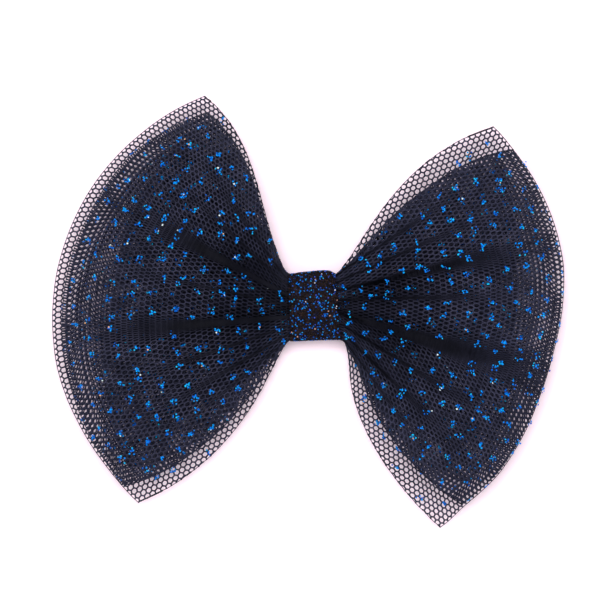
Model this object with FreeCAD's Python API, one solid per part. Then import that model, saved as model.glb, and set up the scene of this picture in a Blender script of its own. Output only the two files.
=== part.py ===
"""Cheer hair bow: gathered glitter tulle on a ribbon-lined alligator clip. Millimetres.

Frame: +X is right seen from the front, +Z is up as worn, and the front faces -Y.
The origin is in the clip's mouth, on the lining's inner face, behind the middle of the band.
"""
import FreeCAD, Part
import math, os

V = FreeCAD.Vector

# ---- clip: a flat top arm and a toothed jaw of sheet steel, hinged on a pin ----
SHEET = 0.6
TIP_X, TAIL_X = -26.0, 22.0
ARM_WIDTH = 8.0
PIVOT_X = 10.0
MOUTH = 3.1                  # from the lining to the jaw's plate
SIDE_PLAY = 0.2              # between an ear of the jaw and the ear of the arm outside it
EAR_ROOT = 3.4               # half the length of an ear where it leaves its plate
ARM_EAR_R = 2.0
EAR_PLAY = 0.2               # from the end of a jaw's ear to the top arm
PIN_R, PIN_PLAY = 0.6, 0.05
HEAD_R, HEAD = 1.15, 0.45
TAIL_BEND = 3.5              # from the pivot to where the tails bend apart
ARM_TAIL_RISE, JAW_TAIL_RISE = 1.4, 5.0
JAW_TIP_BEND, JAW_TIP_DIP = 4.0, 1.1
TOOTH_PITCH, TOOTH_COUNT, TOOTH_DEPTH = 1.8, 7, 0.8
TOOTH_INSET, TOOTH_PLAY = 0.6, 0.3     # from the tip to the first tooth, from teeth to lining
CORNER = 2.0                 # rounding of the arms' ends in plan
BEAD_X = (-17.0, 4.0)        # ends of the stiffening bead pressed into the jaw's plate
BEAD_WIDTH, BEAD_RISE = 2.6, 0.5

# ---- spring, lining and glue ----
WIRE, COIL_TURNS, COIL_PITCH, COIL_PLAY = 0.5, 3.5, 0.62, 0.25
LEG_REACH, LEG_PLAY = 8.6, 0.1
LINING, LINING_WIDTH = 0.3, 9.0
LINING_STOP = 0.4            # from the end of the lining to the ears
GLUE, GLUE_INSET = 1.1, 0.9

# ---- band: its left and right edges are a little out of square ----
BAND = 0.6
BAND_LEFT, BAND_RIGHT = (-7.1, -6.6), (4.5, 6.3)      # x at the top and at the bottom
BAND_ROUND = 0.6
BAND_PLAY = 0.25

# ---- thread round the gathered middle ----
THREAD, THREAD_TURNS, THREAD_PITCH, THREAD_BEND = 0.4, 3, 0.6, 0.5
SOFT_PLAY = 0.1              # between soft pieces that lie against each other

# ---- tulle: strips gathered in the middle and fanned out to both sides ----
TULLE = 0.4                  # thickness of a ply's solid
PINCH_HALF = 7.3             # half the height of the gathered middle
PLY_STEP = 1.2               # from ply to ply in the gathered middle
PINCH_PAST = 0.7             # how far beyond the band's edge the fans start
SOFTEN = 0.8                 # how gradually a ply turns out of the pinch
RISE = 18.0                  # length over which the plies spread apart
PLEAT_PINCH, PLEAT_WING, PLEAT_RIM = 0.2, 1.3, 0.9
PLEAT_FROM = 3.3             # how far out from the middle the pleats' ridges meet
TAIL_CLEAR = 1.1             # from the clip's raised tail to the back sheet
SHEET_TO_LOOP, LOOP_TO_LOOP, INNER_GAP = 2.0, 2.2, 3.6
FOLD = 8.0                   # length over which a loop closes at its rim
BUTT = 0.3                   # half the gap between a loop's two ends, behind the pinch

# A wing: side, centre of its fan, fan angles of its top and bottom edges, radii of its rim at
# angles from bottom to top, how far its edges bow outwards, angle from pleat to pleat and the
# angle of one ridge. Angles are up from the wing's own half of the X axis.
LEFT = dict(side=-1, centre=(6.8, -0.3), fan=(68.2, -52.1), bow=(2.8, 5.4), pleat=39.0, ridge=25.5,
            rim=((-52.1, 60.8), (-42, 59.7), (-30, 59.3), (-15, 59.2), (0, 58.4), (18, 57.6),
                 (48, 56.5), (68.2, 56.3)))
RIGHT = dict(side=1, centre=(6.0, 0.0), fan=(49.9, -65.8), bow=(4.3, 4.8), pleat=30.0, ridge=6.0,
             rim=((-65.8, 59.8), (-58.6, 57.6), (-48, 56.8), (-36, 55.0), (-24, 53.6), (-12, 53.4),
                  (0, 54.5), (12, 55.9), (24, 56.5), (42, 57.4), (49.9, 58.2)))

# ---- what follows from those sizes ----
ARM_Y = -LINING - SHEET / 2                            # middle of the top arm's steel
ARM_FACE = ARM_Y - SHEET / 2 - LINING                  # outer face of the lining
JAW_Y = MOUTH + SHEET / 2
JAW_WIDTH = ARM_WIDTH - 2 * (SHEET + SIDE_PLAY)
PIVOT_Y = (ARM_Y + JAW_Y) / 2
JAW_EAR_R = PIVOT_Y - ARM_Y - SHEET / 2 - EAR_PLAY
TAIL_BEND_X = PIVOT_X + TAIL_BEND
ARM_TAIL_Y, JAW_TAIL_Y = ARM_Y - ARM_TAIL_RISE, JAW_Y + JAW_TAIL_RISE
COIL_R = PIN_R + COIL_PLAY + WIRE / 2
GLUE_FACE = ARM_FACE - GLUE
THREAD_BACK = GLUE_FACE - SOFT_PLAY - THREAD / 2
PLY_EDGE = PLEAT_PINCH + TULLE / 2                     # half of what a pleated ply takes up
FIRST_PLY = THREAD_BACK - THREAD / 2 - SOFT_PLAY - PLY_EDGE
THREAD_FRONT = FIRST_PLY - 4 * PLY_STEP - PLY_EDGE - SOFT_PLAY - THREAD / 2
THREAD_HALF = PINCH_HALF + 2 * SOFT_PLAY + THREAD / 2
BAND_FRONT = THREAD_FRONT - THREAD / 2 - BAND_PLAY
BAND_HALF = THREAD_HALF + THREAD / 2 + SOFT_PLAY
ARM_HALF = LINING_WIDTH / 2 + BAND_PLAY
OUTER_GAP = INNER_GAP + 2 * LOOP_TO_LOOP
WING_BACK = ARM_TAIL_Y - SHEET / 2 - TAIL_CLEAR - PLEAT_WING - TULLE / 2
WING_MIDDLE = WING_BACK - SHEET_TO_LOOP - OUTER_GAP / 2
LOOPS_MIDDLE = FIRST_PLY - 2.5 * PLY_STEP

# A layer: for the left and the right wing the angles by which its fan is narrower than the back
# sheet's at the top and bottom, and how much shorter it is at angles from bottom to top; then
# its depth at the pinch and out on the wing, and half its gap there.
BACK_SHEET = dict(less_angle=((0, 0), (0, 0)), short=(((0, 0.0),), ((0, 0.0),)),
                  depth=(FIRST_PLY, WING_BACK), gap=(0, 0), fold=0.0)
OUTER_LOOP = dict(less_angle=((2.0, 5.6), (4.9, 7.3)),
                  short=(((-46, 0.5), (-20, 2.4), (0, 3.2), (30, 4.2), (66, 4.6)),
                         ((-58, 0.9), (-25, 0.3), (0, 0.6), (20, 1.4), (36, 0.4), (45, 0.2))),
                  depth=(LOOPS_MIDDLE, WING_MIDDLE), gap=(1.5 * PLY_STEP, OUTER_GAP / 2), fold=FOLD)
INNER_LOOP = dict(less_angle=((3.4, 7.8), (6.2, 11.3)),
                  short=(((-44, 4.5), (-20, 11.0), (5, 15.5), (30, 12.5), (65, 6.0)),
                         ((-54, 4.0), (-35, 6.5), (-20, 9.5), (10, 13.0), (25, 9.5), (44, 4.5))),
                  depth=(LOOPS_MIDDLE, WING_MIDDLE), gap=(0.5 * PLY_STEP, INNER_GAP / 2), fold=FOLD)

COLUMNS = [i / 8 - 1 for i in range(17)]               # lines of a fan, from -1 to 1
STATIONS = (0.45, 0.8, 1.0, 1.05, 1.12, 1.25, 1.45, 1.7, 2.0)
FOLD_TURNS = [math.radians(a) for a in (25, 55, 90, 125, 155)]


def mix(a, b, t):
    return a + (b - a) * t


def ease(t):
    t = min(max(t, 0.0), 1.0)
    return t * t * (3 - 2 * t)


def soft_step(s):
    """Zero well before s = 0 and s itself well after it, with a soft corner."""
    return (s + math.hypot(s, SOFTEN)) / 2


def at_angle(pairs, angle):
    """A size given at several angles, found at one in between."""
    for (a, low), (b, high) in zip(pairs, pairs[1:]):
        if angle < b:
            return mix(low, high, max(angle - a, 0) / (b - a))
    return pairs[-1][1]


def pinch_end(wing, v):
    """How far out from the middle line v of a fan starts: just past the band's edge."""
    top, bottom = BAND_RIGHT if wing["side"] > 0 else BAND_LEFT
    return abs(mix(bottom, top, (v + 1) / 2)) + PINCH_PAST


def fan_line(wing, layer, v):
    """Start of line v of a fan, its direction, its length and how far it bows outwards."""
    top, bottom = wing["fan"]
    less_top, less_bottom = layer["less_angle"][wing is RIGHT]
    angle = mix(bottom + less_bottom, top - less_top, (v + 1) / 2)
    short = at_angle(layer["short"][wing is RIGHT], angle)
    radius = at_angle(wing["rim"], angle) - short
    turn = math.radians(angle)
    start = (pinch_end(wing, v), PINCH_HALF * v)
    dx = wing["centre"][0] + radius * math.cos(turn) - start[0]
    dz = wing["centre"][1] + radius * math.sin(turn) - start[1]
    length = math.hypot(dx, dz)
    bow = v * abs(v) * wing["bow"][v < 0] * radius / (radius + short)
    return start, (dx / length, dz / length), length, bow


def cloth_point(wing, layer, v, station, turn=None, face=1):
    """A point on a layer. station runs 0 to 1 through the pinch and 1 to 2 out towards the rim;
    turn is the angle round the rim's fold. face is 1 on the back ply and -1 on the front ply."""
    (px, pz), (dx, dz), length, bow = fan_line(wing, layer, v)
    if turn is None:
        flat = length - layer["fold"]
        out = px * station if station < 1 else px + flat * (station - 1)
        run, share = soft_step(out - px), face
        along = out - run
    else:
        run, share = length - layer["fold"] * (1 - math.sin(turn)), math.cos(turn)
        along = px
    t = run / length
    swell = 4 * bow * t * (1 - t)
    x = along + run * dx - swell * dz
    z = pz + run * dz + swell * dx
    spread = ease(run / RISE)
    height = mix(mix(PLEAT_PINCH, PLEAT_WING, spread), PLEAT_RIM, ease(t))
    angle = math.degrees(math.atan2(z, max(x - PLEAT_FROM, SOFTEN)))
    pleat = height * math.cos(math.radians(360 * (angle - wing["ridge"]) / wing["pleat"]))
    return V(wing["side"] * x, mix(*layer["depth"], spread) + share * mix(*layer["gap"], spread) - pleat, z)


def closed_solid(faces):
    """The solid that flat faces enclose, each face given as its corners."""
    made = [Part.Face(Part.makePolygon(list(corners) + [corners[0]])) for corners in faces]
    shell = Part.makeShell(made)
    shell.sewShape()
    solid = Part.makeSolid(Part.makeShell(shell.Faces))
    if solid.Volume < 0:
        solid.reverse()
    return solid


def halves(a, b, c, d):
    """The two triangles of a cell, because the corners of bent cloth aren't in one plane."""
    return [(a, b, c), (a, c, d)]


def thick(rows):
    """A cloth's solid: a grid of points given its thickness, half of it to each side."""
    last, end = len(rows) - 1, len(rows[0]) - 1
    skins = []
    for push in (-TULLE / 2, TULLE / 2):
        grid = []
        for i, row in enumerate(rows):
            line = []
            for j, point in enumerate(row):
                down = rows[min(i + 1, last)][j] - rows[max(i - 1, 0)][j]
                over = row[min(j + 1, end)] - row[max(j - 1, 0)]
                line.append(point + down.cross(over).normalize() * push)
            grid.append(line)
        skins.append(grid)
    p, q = skins
    faces = []
    for i in range(last):
        for j in range(end):
            faces += halves(p[i][j], p[i + 1][j], p[i + 1][j + 1], p[i][j + 1])
            faces += halves(q[i][j], q[i][j + 1], q[i + 1][j + 1], q[i + 1][j])
        for j in (0, end):
            faces += halves(p[i][j], q[i][j], q[i + 1][j], p[i + 1][j])
    for i in (0, last):
        for j in range(end):
            faces += halves(p[i][j], p[i][j + 1], q[i][j + 1], q[i][j])
    return closed_solid(faces)


def ply(wing, layer, start, face):
    """The rows of one ply of one wing, from near the middle out to where it starts to fold."""
    first = start / pinch_end(wing, 0)
    return [[cloth_point(wing, layer, v, s, None, face) for v in COLUMNS] for s in (first,) + STATIONS]


def back_tulle_sheet():
    """One flat strip, its two cut ends out at the rims."""
    return thick(ply(LEFT, BACK_SHEET, PLY_STEP, 1)[::-1] + ply(RIGHT, BACK_SHEET, PLY_STEP, 1))


def tulle_loop(layer):
    """A strip from the middle of the back, out round the left rim, across the front, round the
    right rim and back to the middle, where its two ends butt."""
    rows = []
    for wing in (LEFT, RIGHT):
        fold = [[cloth_point(wing, layer, v, 2, a) for v in COLUMNS] for a in FOLD_TURNS]
        half = ply(wing, layer, BUTT, 1) + fold + ply(wing, layer, PLY_STEP, -1)[::-1]
        rows += half if wing is LEFT else half[::-1]
    return thick(rows)


def piped(points, diameter):
    """A wire with an eight-sided section along a path, its ends cut square."""
    rings, up = [], V(0, 0, 1)
    for i, point in enumerate(points):
        ahead = points[min(i + 1, len(points) - 1)] - points[max(i - 1, 0)]
        side = ahead.cross(up).normalize()
        up = side.cross(ahead).normalize()
        rings.append([point + (side * math.cos(a) + up * math.sin(a)) * (diameter / 2)
                      for a in (math.pi / 4 * k for k in range(8))])
    faces = [rings[0], rings[-1]]
    for one, two in zip(rings, rings[1:]):
        for k in range(8):
            faces += halves(one[k - 1], one[k], two[k], two[k - 1])
    return closed_solid(faces)


def gather_thread():
    """Turns of thread round the gathered middle, each lap a box with rounded corners."""
    corner = [(THREAD_BEND * (1 - math.cos(a)), THREAD_BEND * (1 - math.sin(a)))
              for a in (math.radians(d) for d in (0, 30, 60, 90))]
    lap = [(THREAD_BACK, 0)] + [(THREAD_BACK - inset, THREAD_HALF - drop) for inset, drop in corner]
    lap += [(THREAD_FRONT + inset, THREAD_HALF - drop) for inset, drop in corner[::-1]]
    lap += [(THREAD_FRONT, 0)] + [(y, -z) for y, z in lap[:0:-1]]
    points = []
    for i in range(THREAD_TURNS * len(lap) + 1):
        y, z = lap[i % len(lap)]
        points.append(V(THREAD_PITCH * (i / len(lap) - THREAD_TURNS / 2), y, z))
    return piped(points, THREAD)


def centre_band():
    """A sleeve of fabric round the pinch and, narrowed behind it, the clip's lined top arm."""
    half = [(BAND_FRONT, BAND_HALF - BAND_ROUND), (BAND_FRONT + BAND_ROUND, BAND_HALF),
            (THREAD_BACK, BAND_HALF), (ARM_FACE, ARM_HALF), (0, ARM_HALF)]
    left, right = min(BAND_LEFT) - 1, max(BAND_RIGHT) + 1
    corners = [V(left, y, z) for y, z in half + [(y, -z) for y, z in half[::-1]]]
    inner = Part.makePolygon(corners + corners[:1])
    outer = inner.makeOffset2D(BAND)
    along = V(right - left, 0, 0)
    sleeve = Part.Face(Part.Wire(outer.Edges)).extrude(along).cut(Part.Face(inner).extrude(along))
    top, deep = BAND_HALF + BAND, BAND_FRONT - BAND - 1
    lean_left = (BAND_LEFT[0] - BAND_LEFT[1]) / (2 * top)
    lean_right = (BAND_RIGHT[0] - BAND_RIGHT[1]) / (2 * top)
    plan = [V(BAND_LEFT[0] + lean_left, deep, top + 1), V(BAND_RIGHT[0] + lean_right, deep, top + 1),
            V(BAND_RIGHT[1] - lean_right, deep, -top - 1), V(BAND_LEFT[1] - lean_left, deep, -top - 1)]
    return sleeve.common(Part.Face(Part.makePolygon(plan + plan[:1])).extrude(V(0, BAND + 1 - deep, 0)))


def bent_strip(path, width):
    """Sheet steel bent along a path of (x, y) points, its width across Z."""
    sides = []
    for push in (SHEET / 2, -SHEET / 2):
        line = []
        for i, (x, y) in enumerate(path):
            steps = [V(b[0] - a[0], b[1] - a[1], 0).normalize()
                     for a, b in zip(path[max(i - 1, 0):i + 2], path[max(i - 1, 0) + 1:i + 2])]
            middle = (steps[0] + steps[-1]).normalize()
            scale = push / middle.dot(steps[0])
            line.append(V(x - middle.y * scale, y + middle.x * scale, -width / 2))
        sides.append(line)
    outline = sides[0] + sides[1][::-1]
    return Part.Face(Part.makePolygon(outline + outline[:1])).extrude(V(0, 0, width))


def rounded_ends(shape, width):
    """Trims a strip's two ends to rounded corners in plan."""
    tall = 2 * (JAW_TAIL_Y + SHEET)
    plan = Part.makeBox(TAIL_X - TIP_X, tall, width, V(TIP_X, -tall / 2, -width / 2))
    corners = [e for e in plan.Edges if e.BoundBox.YLength > tall / 2]
    return shape.common(plan.makeFillet(CORNER, corners))


def ear(radius, plate_y, z, hole):
    """A plate from an arm at plate_y to a round end about the pivot, with the pin's hole."""
    corners = [V(PIVOT_X - EAR_ROOT, plate_y, z), V(PIVOT_X + EAR_ROOT, plate_y, z),
               V(PIVOT_X + radius, PIVOT_Y, z), V(PIVOT_X - radius, PIVOT_Y, z)]
    plate = Part.Face(Part.makePolygon(corners + corners[:1])).extrude(V(0, 0, SHEET))
    plate = plate.fuse(Part.makeCylinder(radius, SHEET, V(PIVOT_X, PIVOT_Y, z)))
    return plate.cut(Part.makeCylinder(hole, 2 * SHEET, V(PIVOT_X, PIVOT_Y, z - SHEET / 2)))


def bead(inset, root_y):
    """A bar with round ends and a bevelled top, as tall as the steel and a bead's rise."""
    (start, end), tall = BEAD_X, SHEET + BEAD_RISE
    bar = Part.makeBox(end - start - 2 * inset, tall, BEAD_WIDTH - 2 * inset,
                       V(start + inset, root_y, inset - BEAD_WIDTH / 2))
    upright = [e for e in bar.Edges if e.BoundBox.YLength > tall / 2]
    bar = bar.makeFillet((BEAD_WIDTH / 2 - inset) * 0.95, upright)
    top = [e for e in bar.Edges if e.BoundBox.YMin > root_y + tall / 2]
    return bar.makeChamfer(BEAD_RISE * 0.8, top)


def clip_top_arm():
    path = [(TIP_X, ARM_Y), (TAIL_BEND_X, ARM_Y), (TAIL_X, ARM_TAIL_Y)]
    arm = rounded_ends(bent_strip(path, ARM_WIDTH), ARM_WIDTH)
    for z in (ARM_WIDTH / 2 - SHEET, -ARM_WIDTH / 2):
        arm = arm.fuse(ear(ARM_EAR_R, ARM_Y, z, PIN_R))
    return arm.removeSplitter()


def clip_toothed_arm():
    """The jaw: its edges are folded towards the mouth and cut into teeth near the tip, and a
    bead is pressed out along the middle of its plate."""
    bend_x, tip_y = TIP_X + JAW_TIP_BEND, JAW_Y - JAW_TIP_DIP
    path = [(TIP_X, tip_y), (bend_x, JAW_Y), (TAIL_BEND_X, JAW_Y), (TAIL_X, JAW_TAIL_Y)]
    jaw = rounded_ends(bent_strip(path, JAW_WIDTH), JAW_WIDTH)
    jaw = jaw.fuse(bead(0, JAW_Y - SHEET / 2)).cut(bead(SHEET / 2, JAW_Y - SHEET * 1.5))
    first, root_y = TIP_X + TOOTH_INSET, TOOTH_PLAY + TOOTH_DEPTH
    comb = [V(first + TOOTH_PITCH * TOOTH_COUNT, JAW_Y, 0)]
    for i in range(TOOTH_COUNT, 0, -1):
        x = first + TOOTH_PITCH * i
        comb += [V(x, root_y, 0), V(x - TOOTH_PITCH * 0.7, TOOTH_PLAY, 0)]
    comb += [V(first, root_y, 0), V(first, tip_y, 0), V(bend_x, JAW_Y, 0)]
    for z in (JAW_WIDTH / 2 - SHEET, -JAW_WIDTH / 2):
        flange = Part.Face(Part.makePolygon(comb + comb[:1])).extrude(V(0, 0, SHEET))
        flange.translate(V(0, 0, z))
        jaw = jaw.fuse(rounded_ends(flange, JAW_WIDTH))
        jaw = jaw.fuse(ear(JAW_EAR_R, JAW_Y, z, PIN_R + PIN_PLAY))
    return jaw.removeSplitter()


def hinge_pin():
    """Riveted over at both ends, outside the top arm's ears."""
    half = ARM_WIDTH / 2
    pin = Part.makeCylinder(PIN_R, ARM_WIDTH, V(PIVOT_X, PIVOT_Y, -half))
    for z in (half, -half - HEAD):
        head = Part.makeCylinder(HEAD_R, HEAD, V(PIVOT_X, PIVOT_Y, z))
        rim = [e for e in head.Edges if abs(abs(e.CenterOfMass.z) - half - HEAD) < HEAD / 10]
        pin = pin.fuse(head.makeChamfer(HEAD / 2, rim))
    return pin.removeSplitter()


def torsion_spring():
    """A coil round the pin with one leg along each tail, so that it holds the tips together."""
    half = COIL_PITCH * COIL_TURNS / 2
    lie = SHEET / 2 + WIRE / 2 + LEG_PLAY
    slopes = [rise / (TAIL_X - TAIL_BEND_X) for rise in (-ARM_TAIL_RISE, JAW_TAIL_RISE)]
    legs = []
    for plate, slope, side in ((ARM_Y + lie, slopes[0], -1), (JAW_Y - lie, slopes[1], 1)):
        line = []
        for share in (0.3, 0.55, 0.8, 1.0):
            x = PIVOT_X + LEG_REACH * share
            face = plate + slope * max(x - TAIL_BEND_X, 0) * share
            line.append(V(x, mix(PIVOT_Y + side * COIL_R, face, share), side * half))
        legs.append(line)
    steps = int(COIL_TURNS * 12)
    coil = []
    for i in range(steps + 1):
        a = -math.pi / 2 - 2 * math.pi * COIL_TURNS * i / steps
        coil.append(V(PIVOT_X + COIL_R * math.cos(a), PIVOT_Y + COIL_R * math.sin(a),
                      mix(-half, half, i / steps)))
    return piped(legs[0][::-1] + coil + legs[1], WIRE)


def arm_ribbon_lining():
    """One ribbon glued along the arm's outer face, round its tip and back along its inner face."""
    run = PIVOT_X - EAR_ROOT - LINING_STOP - TIP_X
    corner = -LINING_WIDTH / 2
    faces = [Part.makeBox(run, LINING, LINING_WIDTH, V(TIP_X, y, corner)) for y in (ARM_FACE, -LINING)]
    turn = Part.makeBox(LINING, -ARM_FACE, LINING_WIDTH, V(TIP_X - LINING, ARM_FACE, corner))
    turn = turn.makeFillet(LINING * 0.9, [e for e in turn.Edges if e.BoundBox.ZLength > LINING_WIDTH / 2
                                          and e.CenterOfMass.x < TIP_X - LINING / 2])
    return faces[0].fuse(faces[1]).fuse(turn).removeSplitter()


def glue_pad():
    """Hot glue between the lining and the gathered tulle, inside the band."""
    left, right = max(BAND_LEFT) + GLUE_INSET, min(BAND_RIGHT) - GLUE_INSET
    tall = LINING_WIDTH - GLUE_INSET
    pad = Part.makeBox(right - left, GLUE, tall, V(left, GLUE_FACE, -tall / 2))
    return pad.makeFillet(GLUE_INSET, [e for e in pad.Edges if e.BoundBox.YLength > GLUE / 2])


NODES = {
    "back_tulle_sheet": back_tulle_sheet,
    "outer_tulle_loop": lambda: tulle_loop(OUTER_LOOP),
    "inner_tulle_loop": lambda: tulle_loop(INNER_LOOP),
    "gather_thread": gather_thread,
    "centre_band": centre_band,
    "glue_pad": glue_pad,
    "clip_top_arm": clip_top_arm,
    "arm_ribbon_lining": arm_ribbon_lining,
    "clip_toothed_arm": clip_toothed_arm,
    "hinge_pin": hinge_pin,
    "torsion_spring": torsion_spring,
}

os.makedirs("parts", exist_ok=True)
for name, make in NODES.items():
    shape = make()
    box = shape.BoundBox
    print(f"{name}: valid {shape.isValid()}, solids {len(shape.Solids)}, "
          f"volume {shape.Volume:.1f}, x {box.XMin:.2f} {box.XMax:.2f}, "
          f"y {box.YMin:.2f} {box.YMax:.2f}, z {box.ZMin:.2f} {box.ZMax:.2f}")
    shape.exportStep(f"parts/{name}.step")
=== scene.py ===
"""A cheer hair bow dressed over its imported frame: metres, front towards -Y, +Z up as worn."""
import math
import bpy
import numpy as np
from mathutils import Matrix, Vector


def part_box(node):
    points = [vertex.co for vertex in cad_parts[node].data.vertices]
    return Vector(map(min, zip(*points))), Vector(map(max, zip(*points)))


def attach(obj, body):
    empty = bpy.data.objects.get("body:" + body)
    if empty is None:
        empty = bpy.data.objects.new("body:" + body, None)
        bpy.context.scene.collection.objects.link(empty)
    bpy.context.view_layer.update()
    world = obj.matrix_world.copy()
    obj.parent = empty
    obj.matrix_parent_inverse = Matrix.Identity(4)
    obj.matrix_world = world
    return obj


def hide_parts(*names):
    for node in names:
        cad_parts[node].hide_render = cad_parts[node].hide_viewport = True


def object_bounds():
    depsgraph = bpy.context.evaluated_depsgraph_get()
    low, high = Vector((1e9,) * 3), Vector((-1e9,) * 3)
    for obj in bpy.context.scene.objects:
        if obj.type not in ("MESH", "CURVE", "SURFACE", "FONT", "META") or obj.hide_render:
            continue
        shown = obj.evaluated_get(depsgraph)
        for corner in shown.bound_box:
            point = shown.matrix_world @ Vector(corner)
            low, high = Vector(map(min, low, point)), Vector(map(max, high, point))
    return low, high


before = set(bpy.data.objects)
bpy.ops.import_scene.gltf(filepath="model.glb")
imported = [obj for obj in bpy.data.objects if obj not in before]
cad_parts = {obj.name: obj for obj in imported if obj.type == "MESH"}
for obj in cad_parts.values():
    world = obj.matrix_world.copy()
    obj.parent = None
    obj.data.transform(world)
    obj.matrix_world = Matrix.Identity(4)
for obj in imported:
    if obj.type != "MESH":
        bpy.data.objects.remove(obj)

cad_box = [[float(c) for c in corner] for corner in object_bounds()]
bpy.ops.object.select_all(action="DESELECT")

# ---- Studio ---------------------------------------------------------------------------------
# The bow is clipped upright on a pale rosy card, over a pale floor, in soft light from large
# lamps. The card lets the bow be seen, and lit, from behind.
middle = [(a + b) / 2 for a, b in zip(*cad_box)]
CARD_Y = 0.0012              # just behind the tulle; the clip reaches through it
FLOOR_Z = -0.085


def studio_card(name, shade, glow):
    """Matt felted card, a little paler to the eye by its glow, and clear from behind."""
    card = bpy.data.materials.new(name)
    card.use_nodes = True
    nodes, links = card.node_tree.nodes, card.node_tree.links
    nodes.remove(nodes["Principled BSDF"])
    paper = nodes.new("ShaderNodeBsdfDiffuse")
    paper.inputs["Color"].default_value = (*shade, 1)
    fibre = nodes.new("ShaderNodeTexNoise")
    fibre.inputs["Scale"].default_value = 900
    felt = nodes.new("ShaderNodeBump")
    felt.inputs["Strength"].default_value = 0.05
    felt.inputs["Distance"].default_value = 0.0001
    links.new(fibre.outputs["Fac"], felt.inputs["Height"])
    links.new(felt.outputs["Normal"], paper.inputs["Normal"])
    behind = nodes.new("ShaderNodeNewGeometry")
    clear = nodes.new("ShaderNodeBsdfTransparent")
    sides = nodes.new("ShaderNodeMixShader")
    links.new(behind.outputs["Backfacing"], sides.inputs["Fac"])
    eye = nodes.new("ShaderNodeLightPath")
    paler = nodes.new("ShaderNodeEmission")
    strength = nodes.new("ShaderNodeMath")
    strength.operation = "MULTIPLY"
    strength.inputs[1].default_value = glow
    links.new(eye.outputs["Is Camera Ray"], strength.inputs[0])
    links.new(strength.outputs["Value"], paler.inputs["Strength"])
    front = nodes.new("ShaderNodeAddShader")
    links.new(paper.outputs["BSDF"], front.inputs[0])
    links.new(paler.outputs["Emission"], front.inputs[1])
    links.new(front.outputs["Shader"], sides.inputs[1])
    links.new(clear.outputs["BSDF"], sides.inputs[2])
    links.new(sides.outputs["Shader"], nodes["Material Output"].inputs["Surface"])
    return card


bpy.ops.mesh.primitive_plane_add(size=0.22, location=(0, CARD_Y, 0), rotation=(math.pi / 2, 0, 0))
backdrop = bpy.context.object
backdrop.name = "backdrop"
backdrop.data.materials.append(studio_card("rosy_card", (1.15, 0.95, 1.05), 0))
backdrop.visible_diffuse = backdrop.visible_glossy = backdrop.visible_shadow = False
bpy.ops.mesh.primitive_plane_add(size=3, location=(0, 0, FLOOR_Z))
floor = bpy.context.object
floor.name = "floor"
floor.data.materials.append(studio_card("pale_floor", (0.95, 0.94, 0.94), 0.35))

world = bpy.data.worlds.new("white_room")
bpy.context.scene.world = world
world.use_nodes = True
sky, sky_links = world.node_tree.nodes, world.node_tree.links
room = sky["Background"]
room.inputs["Color"].default_value = (1, 1, 1, 1)
room.inputs["Strength"].default_value = 0.2
seen = sky.new("ShaderNodeBackground")
seen.inputs["Color"].default_value = (1, 1, 1, 1)
rays = sky.new("ShaderNodeLightPath")
direct = sky.new("ShaderNodeMath")
direct.operation = "MAXIMUM"
mirrored = sky.new("ShaderNodeMath")
mirrored.operation = "MAXIMUM"
which = sky.new("ShaderNodeMixShader")
sky_links.new(rays.outputs["Is Camera Ray"], direct.inputs[0])
sky_links.new(rays.outputs["Is Glossy Ray"], direct.inputs[1])
sky_links.new(direct.outputs[0], mirrored.inputs[0])
sky_links.new(rays.outputs["Is Transmission Ray"], mirrored.inputs[1])
sky_links.new(mirrored.outputs[0], which.inputs["Fac"])
sky_links.new(room.outputs["Background"], which.inputs[1])
sky_links.new(seen.outputs["Background"], which.inputs[2])
sky_links.new(which.outputs["Shader"], sky["World Output"].inputs["Surface"])

for name, place, size, power in (
        ("key_lamp", (-0.06, -0.80, 0.13), 0.30, 4.5),
        ("right_lamp", (0.22, -0.74, 0.11), 0.30, 1.1),
        ("left_lamp", (-0.30, -0.70, 0.02), 0.30, 0.6),
        ("low_lamp", (0.06, -0.76, -0.12), 0.30, 0.45),
        ("back_lamp", (0.30, 0.65, 0.45), 0.40, 3.5),
        ("back_fill", (-0.50, 0.50, 0.15), 0.40, 1.5)):
    bpy.ops.object.light_add(type="AREA", location=place)
    lamp = bpy.context.object
    lamp.name = name
    lamp.data.size = size
    lamp.data.energy = power
    aim = Vector(middle) - lamp.location
    lamp.rotation_euler = aim.to_track_quat("-Z", "Y").to_euler()

EYE_X, EYE_Z = -0.0042, 0.0017
EYE_DISTANCE = 0.65
FRAME_WIDTH = 0.1483         # what the frame takes in at the bow
SENSOR = 36
bpy.ops.object.camera_add(location=(EYE_X, middle[1] - EYE_DISTANCE, EYE_Z),
                          rotation=(math.pi / 2, 0, 0))
camera = bpy.context.object
camera.data.sensor_width = SENSOR
camera.data.lens = SENSOR * EYE_DISTANCE / FRAME_WIDTH
camera.data.clip_start = 0.01
bpy.context.scene.camera = camera
bpy.context.scene.view_settings.view_transform = "Standard"

# ---- Clip -----------------------------------------------------------------------------------
# An alligator clip pressed from nickel-plated sheet steel: a flat top arm, a toothed jaw with a
# stiffening bead, and a riveted pin. Its three steel pieces are the frame's own solids.


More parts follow.
